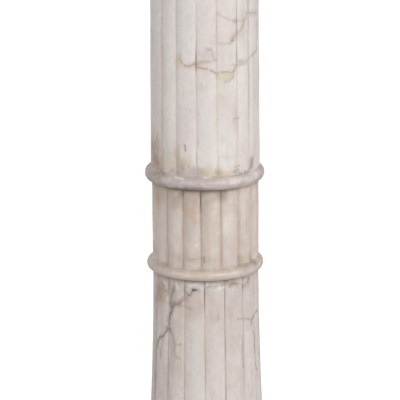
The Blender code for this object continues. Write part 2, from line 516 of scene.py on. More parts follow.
class Wire:
    """A shader socket that takes part in sums: each operation adds a Math node to its tree."""

    def __init__(self, finish, socket):
        self.finish = finish
        self.socket = socket

    def __add__(self, other):
        return self.finish.math("ADD", self, other)

    def __radd__(self, other):
        return self.finish.math("ADD", other, self)

    def __sub__(self, other):
        return self.finish.math("SUBTRACT", self, other)

    def __rsub__(self, other):
        return self.finish.math("SUBTRACT", other, self)

    def __mul__(self, other):
        return self.finish.math("MULTIPLY", self, other)

    def __rmul__(self, other):
        return self.finish.math("MULTIPLY", other, self)

    def __truediv__(self, other):
        return self.finish.math("DIVIDE", self, other)

    def __rtruediv__(self, other):
        return self.finish.math("DIVIDE", other, self)

    def at_most(self, other):
        return self.finish.math("MINIMUM", self, other)

    def ramp(self, low, high, top=1.0):
        """0 below low and top above high, with an S curve between them. High may be the lower one."""
        sockets = {"Value": self, "From Min": low, "From Max": high, "To Min": 0.0, "To Max": top}
        return self.finish.node("ShaderNodeMapRange", {"interpolation_type": "SMOOTHSTEP"}, sockets)

    def vector(self, operation, *others):
        output = "Value" if operation == "LENGTH" else "Vector"
        sockets = dict(enumerate((self, *others)))
        return self.finish.node("ShaderNodeVectorMath", {"operation": operation}, sockets, output)

    def scaled(self, factor):
        sockets = {0: self, "Scale": factor}
        return self.finish.node("ShaderNodeVectorMath", {"operation": "SCALE"}, sockets, "Vector")

    def part(self, axis):
        return self.finish.node("ShaderNodeSeparateXYZ", {}, {"Vector": self}, axis)


class Finish:
    """The shader of one stone piece: colour laid on in layers. Flat places on it are in millimetres."""

    def __init__(self, node, look, seed):
        self.stone = node
        self.look = look
        self.seed = seed
        low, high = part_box(node)
        self.radius = (high.x - low.x) / 2
        self.head = high.z / MM
        self.material = bpy.data.materials.new(f"{node}_stone")
        self.material.use_nodes = True
        self.tree = self.material.node_tree
        self.shader = self.tree.nodes["Principled BSDF"]
        self.colour = tone(look["tones"][0])

        self.place = self.node("ShaderNodeTexCoord", {}, {}, "Object")
        x, y, z = (self.place.part(axis) for axis in "XYZ")
        self.angle = self.math("ARCTAN2", x, -1 * y)
        self.height = z * (1 / MM)
        across = self.angle * (self.radius / MM)
        self.flat = self.node("ShaderNodeCombineXYZ", {}, {"X": across, "Y": self.height})
        wobble = self.noise(6, 4, 3, output="Color").vector("SUBTRACT", (0.5, 0.5, 0.5)).scaled(2.6)
        self.wavy = self.flat.vector("ADD", wobble)
        self.ragged = 1.3 * self.noise(9, 4, 9, 1.6) - 0.65
        self.patchy = self.noise(10, 3, 13).ramp(0.25, 0.60)
        self.broken = self.noise(4, 3, 14).ramp(0.24, 0.54)

        nook = {"attribute_type": "GEOMETRY", "attribute_name": "nook"}
        self.nook = self.node("ShaderNodeAttribute", nook, {}, "Fac")
        self.streaks = self.noise(8, 3, seed + 1, 8)
        self.wisps = self.noise(15, 4, seed + 2)
        self.swell = 0.35 + 1.7 * self.noise(7, 2, seed + 4)
        self.mottle = self.noise(look.get("mottle_size", 6), 3, seed + 8, 1.4)

    def node(self, kind, settings, sockets, output=0):
        """Adds a node, with its settings first and then its sockets' values or links."""
        made = self.tree.nodes.new(kind)
        for name, value in settings.items():
            if name == "curve":
                draw_curve(made.mapping, value)
            else:
                setattr(made, name, value)
        for name, value in sockets.items():
            if isinstance(value, Wire):
                self.tree.links.new(value.socket, made.inputs[name])
            else:
                made.inputs[name].default_value = value
        return Wire(self, made.outputs[output])

    def math(self, operation, *values):
        return self.node("ShaderNodeMath", {"operation": operation}, dict(enumerate(values)))

    def noise(self, size, detail, seed, stretch=1, output="Fac"):
        """Cloudy noise from 0 to 1, its features size millimetres wide and stretched upright."""
        scales = (1 / (size * MM), 1 / (size * MM), 1 / (size * MM * stretch))
        shift = (7.3 * seed, 3.1 * seed, 5.7 * seed)
        spot = self.place.vector("MULTIPLY_ADD", scales, shift)
        sockets = {"Vector": spot, "Scale": 1.0, "Detail": detail, "Roughness": 0.55}
        return self.node("ShaderNodeTexNoise", {"noise_dimensions": "3D"}, sockets, output)

    def mix(self, under, over, share):
        """One colour over another."""
        return self.node("ShaderNodeMix", {"data_type": "RGBA"}, {0: share, 6: under, 7: over}, 2)

    def lay(self, colour, share):
        """Lays a colour over the colour so far."""
        self.colour = self.mix(self.colour, tone(colour), share)

    def set(self, **values):
        """Values that hold all over the surface, on the shader's own sockets."""
        for name, value in values.items():
            self.shader.inputs[name.replace("_", " ")].default_value = value

    def feed(self, name, wire):
        """A value that varies over the surface."""
        self.tree.links.new(wire.socket, self.shader.inputs[name])


def draw_curve(mapping, points):
    """A Float Curve node's curve through the points, the first and last of which it already has."""
    curve = mapping.curves[0]
    for _ in range(len(points) - 2):
        curve.points.new(0.5, 0.5)
    for point, (x, y) in zip(curve.points, points):
        point.location = (x, y)
    mapping.update()


# Marks that the photograph shows, given by its pixels and laid on the stone that the camera sees there

def radius_at(node):
    """The outer radius of a round CAD node at any height."""
    points = node_points(node)
    radius = np.hypot(points[:, 0], points[:, 1])
    levels = np.unique(np.round(points[:, 2], 4))
    outer = [radius[np.abs(points[:, 2] - level) < CLOSE].max() for level in levels]
    return lambda z: float(np.interp(z, levels, outer))


def sighted(node, pixel, depth=0.0):
    """The angle and height of the spot behind a pixel, on a round piece or at a depth in it."""
    camera = bpy.context.scene.camera
    focal = LENS / SENSOR * PICTURE
    aim = Vector(((pixel[0] - PICTURE / 2) / focal, (PICTURE / 2 - pixel[1]) / focal, -1))
    ray = camera.matrix_world.to_3x3() @ aim
    start = camera.matrix_world.translation
    outer = radius_at(node)
    spot = Vector((0, 0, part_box(node)[0].z))
    for _ in range(SIGHT_ROUNDS):
        a = ray.x**2 + ray.y**2
        b = start.x * ray.x + start.y * ray.y
        c = start.x**2 + start.y**2 - (outer(spot.z) - depth) ** 2
        spot = start + ray * ((-b - math.sqrt(max(b * b - a * c, 0))) / a)
    return math.atan2(spot.x, -spot.y), spot.z


def laid(finish, route):
    """A route of pixels as points on the unrolled surface, in millimetres."""
    spots = [sighted(finish.stone, pixel) for pixel in route]
    return [(angle * finish.radius / MM, z / MM) for angle, z in spots]


def steady_runs(route):
    """The route cut where it turns back, each run with the direction, 0 or 1, that it keeps going in."""
    runs = []
    for start, end in itertools.pairwise(route):
        step = (end[0] - start[0], end[1] - start[1])
        if runs:
            axis, sign, points = runs[-1]
            if step[axis] * sign > STEADY * abs(step[1 - axis]):
                points.append(end)
                continue
        axis = 0 if abs(step[0]) > abs(step[1]) else 1
        runs.append((axis, 1 if step[axis] > 0 else -1, [start, end]))
    return [(axis, sorted(points, key=lambda point: point[axis])) for axis, _, points in runs]


def vein_distance(finish, coordinates, veins):
    """How many half widths away the nearest vein is, squared. A vein is (half width, route)."""
    nearest = None
    for width, route in veins:
        for axis, points in steady_runs(route):
            along = coordinates[axis]
            beside = coordinates[1 - axis]
            first = points[0][axis]
            length = points[-1][axis] - first
            lowest = min(point[1 - axis] for point in points)
            span = max(max(point[1 - axis] for point in points) - lowest, 1.0)
            shares = [((p[axis] - first) / length, (p[1 - axis] - lowest) / span) for p in points]
            sockets = {0: along, 1: 1 / length, 2: -first / length}
            settings = {"operation": "MULTIPLY_ADD", "use_clamp": True}
            share = finish.node("ShaderNodeMath", settings, sockets)
            curve = finish.node("ShaderNodeFloatCurve", {"curve": shares}, {"Value": share})
            past = finish.math("MULTIPLY_ADD", share, -length, along) - first
            aside = finish.math("MULTIPLY_ADD", curve, -span, beside) - lowest
            square = finish.math("MULTIPLY_ADD", past, past, aside * aside) / width**2
            nearest = square if nearest is None else nearest.at_most(square)
    return nearest


def patch_mask(finish, pixel, half_size, strength):
    """A ragged patch: strength in its middle, fading out about a half size away. Sizes are in pixels."""
    centre = laid(finish, [pixel])[0]
    extent = [size * PIXEL_MM for size in half_size]
    scales = (1 / extent[0], 1 / extent[1], 0)
    shift = (-centre[0] / extent[0], -centre[1] / extent[1], 0)
    spot = finish.wavy.vector("MULTIPLY_ADD", scales, shift)
    return (spot.vector("LENGTH") + finish.ragged).ramp(PATCH_END, 0.0, strength)


def lay_stone(finish):
    """The stone's own tones in clouds and streaks, chalky wisps, mottling and fine chisel strokes."""
    _, second, third = finish.look["tones"]
    mottling = finish.look.get("mottle", 0.22)
    finish.lay(second, finish.noise(44, 3, finish.seed, 1.7).ramp(0.38, 0.62))
    finish.lay(third, (0.55 * finish.streaks + 0.45 * finish.wisps).ramp(0.45, 0.66, 0.75))
    finish.lay(CHALK, finish.wisps.ramp(0.42, 0.25, 0.35))
    finish.lay(TAUPE, finish.mottle.ramp(0.50, 0.80, mottling))
    finish.lay(CHALK, finish.mottle.ramp(0.48, 0.25, mottling))
    finish.lay(TAUPE, finish.noise(2.6, 2, finish.seed + 9, 16).ramp(0.50, 0.75, 0.10))


def lay_lathe_marks(finish, strength):
    """Long dark and pale lines round a turned piece, about 1.3 mm apart."""
    stretched = finish.flat.vector("MULTIPLY", (1 / 26, 1 / 1.3, 0))
    turning = stretched.vector("ADD", (finish.seed, 0.3 * finish.seed, 0))
    sockets = {"Vector": turning, "Scale": 1.0}
    marks = finish.node("ShaderNodeTexNoise", {"noise_dimensions": "2D"}, sockets)
    finish.lay(GRIME_AND_SHADE, marks.ramp(0.50, 0.78, strength))
    finish.lay(CHALK, marks.ramp(0.50, 0.26, 1.2 * strength))


def lay_crust(finish, first, second):
    """Two tones of plaster dust on the bead that rises above a ring's own head."""
    dust = finish.mix(tone(first), tone(second), finish.mottle.ramp(0.4, 0.6))
    above = finish.height - finish.head + 2 * finish.ragged
    finish.colour = finish.mix(finish.colour, dust, above.ramp(-1.5, 0.6, 0.85))


def lay_veins(finish):
    """Veins, each with a soft stained band and, inside it, a thin core; a few pale groups drawn the same way
    are painted glints.
    """
    coordinates = [finish.wavy.part(axis) for axis in "XY"]
    for band, core, veins in finish.look.get("veins", []):
        routes = [(width, laid(finish, route)) for width, route in veins]
        distance = vein_distance(finish, coordinates, routes) * finish.swell
        finish.lay(band[0], distance.ramp(BAND_END**2, 0, band[1]) * finish.patchy)
        finish.lay(core[0], distance.ramp(CORE_END**2, 0, core[1]) * finish.broken)


def lay_web(finish):
    """A faint net of veins on the sides that the photograph doesn't show."""
    bend = finish.noise(26, 3, finish.seed + 5, output="Color").scaled(0.05)
    sockets = {"Vector": finish.place.vector("ADD", bend), "Scale": 13}
    web = finish.node("ShaderNodeTexVoronoi", {"feature": "DISTANCE_TO_EDGE"}, sockets)
    hidden = finish.math("ABSOLUTE", finish.angle).ramp(*finish.look.get("web_from", (1.15, 1.6)))
    field = finish.noise(60, 2, finish.seed + 6) + 0.4 * finish.wisps
    shown = field.ramp(0.62, 0.80) * hidden
    finish.lay(SAND, web.ramp(0.11, 0.0, 0.5) * shown)
    finish.lay(VEIN_BROWN, (web * finish.swell).ramp(0.024, 0.002, 0.6) * shown)


def lay_grime_and_shade(finish):
    """Dirt and painted shade in all grooves and inner corners, more dirt along single stretches of grooves,
    and painted light in a few of them.
    """
    broken = finish.streaks.ramp(0.28, 0.62)
    # Grime darkens each groove and inner corner: partly dirt, partly painted shade of the recess.
    for stain, width, strength in finish.look["grime_and_nook_shade"]:
        finish.lay(stain, finish.nook.ramp(width, 0.1 * width, strength) * broken)
    # Stretches of dirt in single grooves; the pale ones are painted light that lifts the groove's shade.
    for stain, strength, pixel, half_height, width in finish.look.get("groove_dirt_and_painted_light", []):
        stretch = patch_mask(finish, pixel, (GROOVE_PATCH, half_height), strength)
        finish.lay(stain, stretch * finish.nook.ramp(width, 0.1 * width))


def lay_soot_and_ring_shadow(finish, strength):
    """Painted shadow with some soot under the ring above, more of it to the left, and a narrow dark seam of
    painted shadow right at the ring.
    """
    below = finish.head - finish.height
    leftward = 0.55 + 0.9 * finish.angle.ramp(0.9, -0.7)
    facing = finish.angle.ramp(-0.9, -0.2) * finish.angle.ramp(1.0, 0.3)
    # Painted shadow under the ring, with some soot: a wide brown band and a narrow dark seam.
    finish.lay(UMBER, (below + 7 * finish.ragged).ramp(13, 0) * (strength * leftward))
    finish.lay(GRIME_AND_SHADE, (below + 1.5 * finish.ragged).ramp(5.5, 1) * (strength * (0.8 + 1.4 * facing)))


def stone_finish(piece, node, look, seed):
    """The stone of one piece: its tones, patches, veins, grime and crumbs, with painted shade, glints and
    highlights among them, and a worn, waxy surface.
    """
    finish = Finish(node, look, seed)
    lay_stone(finish)
    if "lathe" in look:
        lay_lathe_marks(finish, look["lathe"])
    if "crust" in look:
        lay_crust(finish, *look["crust"])
    for stain, strength, pixel, half_size in look.get("patches", []):
        finish.lay(stain, patch_mask(finish, pixel, half_size, strength))
    lay_veins(finish)
    lay_web(finish)
    lay_grime_and_shade(finish)
    if "soot_and_ring_shadow" in look:
        lay_soot_and_ring_shadow(finish, look["soot_and_ring_shadow"])
    for stain, strength, pixel, half_size in look.get("crumbs", []):
        crumbs = finish.noise(3.2, 3, seed + 12).ramp(0.44, 0.66)
        finish.lay(stain, patch_mask(finish, pixel, half_size, strength) * crumbs)

    finish.feed("Base Color", finish.colour)
    dull = 0.16 * finish.wisps + 0.2 * finish.nook.ramp(2.0, 0.2)
    finish.feed("Roughness", look.get("roughness", 0.42) + dull)
    pits = 0.5 * finish.noise(0.9, 2, seed + 7) + finish.noise(2.2, 3, seed + 3)
    relief = {"Strength": 0.35, "Distance": 0.0004, "Height": pits}
    finish.feed("Normal", finish.node("ShaderNodeBump", {}, relief, "Normal"))
    finish.set(
        Subsurface_Weight=0.25,
        Subsurface_Radius=(1.0, 0.75, 0.6),
        Subsurface_Scale=0.006,
        IOR=look.get("gloss", 1.35),
        Metallic=0.0,
    )
    piece.data.materials.append(finish.material)


# The looks of each piece. A patch, of stain, of crumbs, of painted shade or of painted light, is (colour,
# strength, middle pixel, half width and half height in pixels). Dirt in a groove, and painted light in one,
# is (colour, strength, middle pixel, half height in pixels, width in mm). Grime in grooves and nooks, partly
# dirt and partly painted shade of the recess, is (colour, width in mm, strength). A group of veins is (band,
# core, veins), where band and core are (colour, strength) and a vein, or a painted glint drawn like one, is
# (half width in mm, route in pixels).
UPPER_SHAFT_LOOK = {
    "tones": (MILK, LILAC, PALE_GREY),
    # Grime in the grooves: partly dirt, partly painted shade.
    "grime_and_nook_shade": [(SAND, 3.0, 0.30), (TAUPE, 1.6, 0.12)],
    "groove_dirt_and_painted_light": [
        (UMBER, 0.60, (196.4, 58), 16, 1.7),
        (VEIN_SLATE, 0.5, (196.4, 61), 12, 1.1),
        (GRIME_AND_SHADE, 0.4, (196.6, 158), 14, 1.5),
        (GRIME_AND_SHADE, 0.18, (216.4, 26), 28, 1.5),
        (GRIME_AND_SHADE, 0.4, (236.5, 57), 15, 2.4),
        (GRIME_AND_SHADE, 0.4, (236.4, 22), 24, 2.2),
        (TAUPE, 0.25, (236.6, 122), 18, 3.0),
        (RUST, 0.42, (162.3, 120), 40, 5.0),
        (RUST, 0.38, (162.3, 50), 40, 5.0),
        (SAND, 0.22, (176.3, 80), 60, 5.0),
        (TAUPE, 0.5, (248.5, 20), 20, 2.4),
        (TAUPE, 0.5, (248.7, 84), 66, 4.0),
    ],
    "patches": [
        # The first three lighten the shaft's left side and darken its right: painted light and painted
        # shade.
        (MILK, 0.65, (160, 80), (4, 66)),
        (CHALK, 0.4, (169, 80), (6, 60)),
        (TAUPE, 0.15, (226, 90), (10, 80)),
        (COOL, 0.4, (180, 28), (13, 26)),
        (COOL, 0.3, (188, 82), (10, 9)),
        (LILAC, 0.6, (222, 108), (22, 14)),
        (PALE_GREY, 0.5, (205, 34), (9, 12)),
        (OLIVE, 0.35, (213, 43), (5, 6)),
        (MAUVE, 0.45, (205, 56), (9, 9)),
        (MAUVE, 0.4, (243, 26), (5, 26)),
        (ROSE, 0.5, (242, 50), (10, 10)),
        (OCHRE, 0.45, (178, 62), (5, 9)),
        (RUST, 0.5, (195, 65), (4, 5)),
        (RUST, 0.42, (234, 37), (8, 6)),
        (OLIVE, 0.45, (225, 77.5), (12, 5)),
        (RUST, 0.4, (217, 76), (3, 4)),
        (OLIVE, 0.30, (201, 88), (8, 6)),
        (SAND, 0.45, (223, 100), (10, 14)),
        (PALE_GREY, 0.5, (205, 128), (12, 22)),
        (MILK, 0.4, (169, 134), (5, 9)),
        (RUST, 0.14, (160, 124), (5, 28)),
        (RUST, 0.75, (158, 156), (9, 22)),
        (UMBER, 0.72, (153, 156), (15, 26)),
        (UMBER, 0.45, (160, 167), (9, 11)),
        (MAUVE, 0.7, (162, 160), (4, 10)),
        (SAND, 0.8, (169, 162), (12, 18)),
        (RUST, 0.5, (178, 164), (7, 16)),
        (RUST, 0.5, (185, 163), (6, 9)),
        (TAUPE, 0.55, (184, 172), (8, 8)),
        (TAUPE, 0.45, (176, 150), (5, 10)),
        (MAUVE, 0.7, (194, 171), (8, 6)),
        (TAUPE, 0.7, (195, 175), (11, 3)),
        (OLIVE, 0.55, (203, 172), (5, 6)),
        (OLIVE, 0.50, (210, 170), (5, 9)),
        (TAUPE, 0.45, (204, 175.5), (6, 4)),
        (RUST, 0.55, (220, 174), (7, 5)),
        (OCHRE, 0.7, (226, 175), (9, 5)),
        (PALE_GREY, 0.7, (242, 174), (10, 4)),
        (OLIVE, 0.5, (236, 170), (4, 4)),
        (CHALK, 0.8, (243, 172.6), (4, 2)),
        (UMBER, 0.4, (172, 171.5), (5, 4)),
        (UMBER, 0.3, (176, 174), (4, 5)),
        (GRIME_AND_SHADE, 0.5, (235, 172), (4, 3)),
        (UMBER, 0.38, (198, 171.5), (8, 5)),
        (UMBER, 0.38, (218, 171.5), (5, 6)),
        (TAUPE, 0.6, (251.8, 165), (3, 9)),
        (MAUVE, 0.5, (236, 118), (5, 14)),
        (TAUPE, 0.18, (254, 160), (4, 30)),
        (MAUVE, 0.4, (254, 90), (4, 60)),
    ],
    "crumbs": [
        (UMBER, 0.55, (243, 172), (13, 6)),
        (UMBER, 0.6, (158, 168), (10, 9)),
        (GRIME_AND_SHADE, 0.9, (238, 168.5), (5, 4)),
        (GRIME_AND_SHADE, 0.6, (246, 172.6), (5, 2.5)),
        (TAUPE, 0.5, (182, 170), (14, 9)),
    ],
    "veins": [
        ((TAUPE, 0.34), (VEIN_BROWN, 0.20), [
            (0.9, [(248.6, 0), (249, 8), (248.2, 13)]),
            (1.1, [(247, 13.3), (251, 13), (256, 12.4)]),
            (1.0, [(247, 15), (243.6, 20), (239, 21.3), (235, 21.2)]),
            (0.9, [(243.6, 20), (242.4, 26.5), (240.3, 31.5), (236.6, 34), (232, 40.6)]),
            (0.8, [(232, 40.6), (228, 43), (219, 43)]),
            (0.8, [(207.2, 49.7), (211.3, 49.7), (213.4, 53), (213, 58), (215.5, 60.1)]),
            (0.8, [(215.5, 60.1), (210.5, 61.4), (203.8, 61.8), (198, 64)]),
            (0.7, [(233.7, 64.4), (236.6, 65.5), (240.3, 64.3), (247, 63.8)]),
            (0.8, [(256.4, 24), (257, 32), (256.6, 42), (257.4, 48)]),
            (0.9, [(239.5, 61.4), (247, 61), (250.3, 58), (254.4, 53), (257, 49.8)]),
            (0.8, [(257, 49.8), (256.6, 42), (257.6, 36)]),
            (0.7, [(234, 70.5), (236.4, 66)]),
            (0.6, [(233.7, 73), (233.3, 77), (229.5, 80.4), (225.4, 82)]),
        ]),
        ((OCHRE, 0.45), (VEIN_BROWN, 0.42), [
            (1.1, [(179.5, 58), (180.6, 60.5), (184, 64.7), (188, 66.3), (193, 64.7), (196, 64)]),
            (1.1, [(196, 67), (201.4, 68.4), (206.3, 68.8), (211.3, 70.5), (216.3, 73.4)]),
            (1.0, [(217, 73.4), (223, 72.1), (228, 72), (232.9, 72), (234, 70.5)]),
        ]),
        ((TAUPE, 0.4), (VEIN_SLATE, 0.55), [
            (0.55, [(184.8, 145.3), (185.2, 151)]),
            (1.0, [(231.7, 40.7), (233, 40)]),
            (0.7, [(249, 170), (246, 173), (239.5, 173.7)]),
        ]),
        ((TAUPE, 0.6), (UMBER, 0.55), [(1.4, [(252.6, 158.8), (252, 165), (249.6, 170.5)])]),
        ((TAUPE, 0.15), (VEIN_BROWN, 0.22), [
            (0.6, [(177.3, 167), (177.6, 176)]),
            (0.6, [(179.4, 169), (179.7, 177)]),
            (0.6, [(182.8, 166), (183.1, 176)]),
            (0.6, [(157.4, 138), (157.8, 156), (158.4, 168)]),
            (0.6, [(235, 21.2), (231.2, 20), (224.6, 17.8), (218, 13.3)]),
            (0.6, [(234.4, 118.6), (240, 118.4)]),
        ]),
    ],
}

DRUM_LOOK = {
    "tones": (CREAM, BLUSH, OAT),
    # Grime in the grooves: partly dirt, partly painted shade.
    "grime_and_nook_shade": [(HONEY, 6.5, 0.45), (UMBER, 4.2, 0.18)],
    "mottle": 0.32,
    "mottle_size": 9,
    # Painted shadow and soot under the upper ring.
    "soot_and_ring_shadow": 0.34,
    "groove_dirt_and_painted_light": [
        (GRIME_AND_SHADE, 0.75, (201, 203), 14, 2.2),
        (GRIME_AND_SHADE, 0.6, (220.8, 194), 8, 2.4),
        (GRIME_AND_SHADE, 0.7, (251, 261), 8, 3.0),
        # A pale stretch in this groove: painted light that lifts its shade.
        (PEARL, 0.4, (183, 248), 14, 2.6),
        (RUST, 0.4, (238.4, 257), 7, 4.0),
        (UMBER, 0.6, (183, 193), 6, 3.5),
        (UMBER, 0.12, (201, 235), 30, 4.0),
        (RUST, 0.5, (238.4, 235), 30, 3.0),
        (RUST, 0.4, (221, 252), 14, 5.0),
    ],
    "patches": [
        (UMBER, 0.35, (160, 196), (14, 9)),
        (RUST, 0.70, (156, 196), (15, 12)),
        (TAUPE, 0.55, (176, 203), (10, 18)),
        (UMBER, 0.25, (176, 197), (8, 7)),
        (TAUPE, 0.3, (168, 251), (14, 8)),
        (UMBER, 0.3, (195, 203), (4, 13)),
        (TAUPE, 0.45, (206, 214), (7, 22)),
        (TAUPE, 0.40, (191, 228), (9, 18)),
        (UMBER, 0.35, (222, 197), (12, 7)),
        (RUST, 0.60, (191, 209), (12, 11)),
        (TAUPE, 0.50, (191, 198), (10, 8)),
        (UMBER, 0.2, (206, 198), (6, 8)),
        (HEATHER, 0.6, (161, 236), (6, 22)),
        (LILAC, 0.45, (175, 226), (6, 16)),
        (HEATHER, 0.5, (190, 236), (7, 14)),
        # Pale on a reed crest at the right: painted highlight.
        (CHALK, 0.50, (226, 226), (6, 14)),
        (COOL, 0.45, (226, 254), (7, 16)),
        (LILAC, 0.5, (244, 208), (7, 20)),
        (HEATHER, 0.6, (252, 222), (6, 34)),
        (OLIVE, 0.5, (245, 262), (7, 9)),
        (OCHRE, 0.25, (208, 236), (6, 20)),
        (PEARL, 0.6, (233, 229), (4, 9)),
        (LILAC, 0.5, (254, 235), (5, 12)),
        (TAUPE, 0.35, (154, 249), (15, 9)),
        (UMBER, 0.4, (224, 196), (6, 6)),
        (TAUPE, 0.35, (198, 260), (26, 5)),
        # These four darken the drum's top just below the upper ring: painted shadow of the ring.
        (GRIME_AND_SHADE, 0.6, (200.8, 193.5), (4.5, 5)),
        (UMBER, 0.4, (204, 193), (24, 3.5)),
        (GRIME_AND_SHADE, 0.5, (223, 191.5), (4, 4)),
        (UMBER, 0.5, (179.5, 194), (4, 6)),
        (UMBER, 0.5, (240.5, 259), (5, 7)),
        (UMBER, 0.6, (251.5, 259), (6, 7)),
        (TAUPE, 0.5, (179.5, 259), (4, 9)),
    ],
    "veins": [
        ((TAUPE, 0.3), (VEIN_BROWN, 0.6), [(0.9, [(203.8, 257.5), (204, 262.5)])]),
        ((TAUPE, 0.2), (VEIN_BROWN, 0.3), [(0.5, [(190, 259.8), (200, 259.4)])]),
    ],
}

